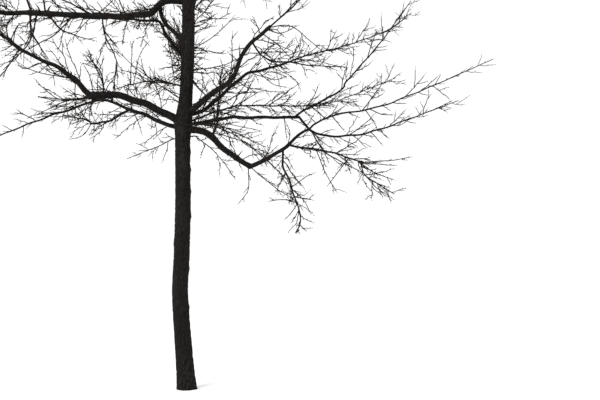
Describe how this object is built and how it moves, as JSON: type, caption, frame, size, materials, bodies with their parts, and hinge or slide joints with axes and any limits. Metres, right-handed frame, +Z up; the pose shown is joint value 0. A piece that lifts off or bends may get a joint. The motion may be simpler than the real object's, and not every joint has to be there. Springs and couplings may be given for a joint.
{
  "type": "bare winter tree",
  "caption": "Bare deciduous tree with one straight trunk and root flare, open level boughs and leafless twig masses up to a pointed leader.",
  "frame": {"origin": "centre of the flat cut under the trunk, at ground level", "axes": "+Z up the trunk, +X to the right of the picture, +Y away from its viewer"},
  "size_m": [6.5279, 6.2257, 9.5804],
  "materials": {
    "bark": "rough dark bark",
    "twigs": "matt dark twig bark"
  },
  "bodies": {
    "root": {"bough_back_left": "bark", "bough_back_middle": "bark", "bough_front_left_inner": "bark", "bough_front_left_outer": "bark", "bough_front_middle": "bark", "bough_front_right_inner": "bark", "bough_front_right_outer": "bark", "bough_high_left": "bark", "bough_level_right": "bark", "bough_low_right_inner": "bark", "bough_low_right_outer": "bark", "bough_right_back": "bark", "bough_rising_left": "bark", "bough_upper_1": "bark", "bough_upper_2": "bark", "bough_upper_3": "bark", "bough_upper_4": "bark", "bough_upper_5": "bark", "bough_upper_6": "bark", "trunk": "bark", "twigs_back_left_side": "twigs", "twigs_back_left_tip": "twigs", "twigs_back_middle_tip": "twigs", "twigs_crossing_left": "twigs", "twigs_elbow_middle_left": "twigs", "twigs_elbow_up_left": "twigs", "twigs_front_left_tip": "twigs", "twigs_front_middle_tip": "twigs", "twigs_front_right_side": "twigs", "twigs_front_right_tip": "twigs", "twigs_high_left_hanging": "twigs", "twigs_high_left_inner": "twigs", "twigs_high_left_tip": "twigs", "twigs_leader": "twigs", "twigs_level_right_down": "twigs", "twigs_level_right_up": "twigs", "twigs_low_right_hanging": "twigs", "twigs_low_right_side": "twigs", "twigs_low_right_tip": "twigs", "twigs_low_right_upright": "twigs", "twigs_right_back_tip": "twigs", "twigs_right_slim": "twigs", "twigs_rising_left_tip": "twigs", "twigs_slanting_right": "twigs", "twigs_slender_left": "twigs", "twigs_trunk_low_left": "twigs", "twigs_trunk_low_right": "twigs", "twigs_upper_1_tip": "twigs", "twigs_upper_2_tip": "twigs", "twigs_upper_3_tip": "twigs", "twigs_upper_4_tip": "twigs", "twigs_upper_5_tip": "twigs", "twigs_upper_6_tip": "twigs", "twigs_upper_side_1": "twigs", "twigs_upper_side_2": "twigs", "twigs_upper_side_3": "twigs", "twigs_upper_side_4": "twigs", "twigs_upper_side_5": "twigs", "twigs_upper_side_6": "twigs", "twigs_upper_side_7": "twigs"}
  },
  "joints": []
}
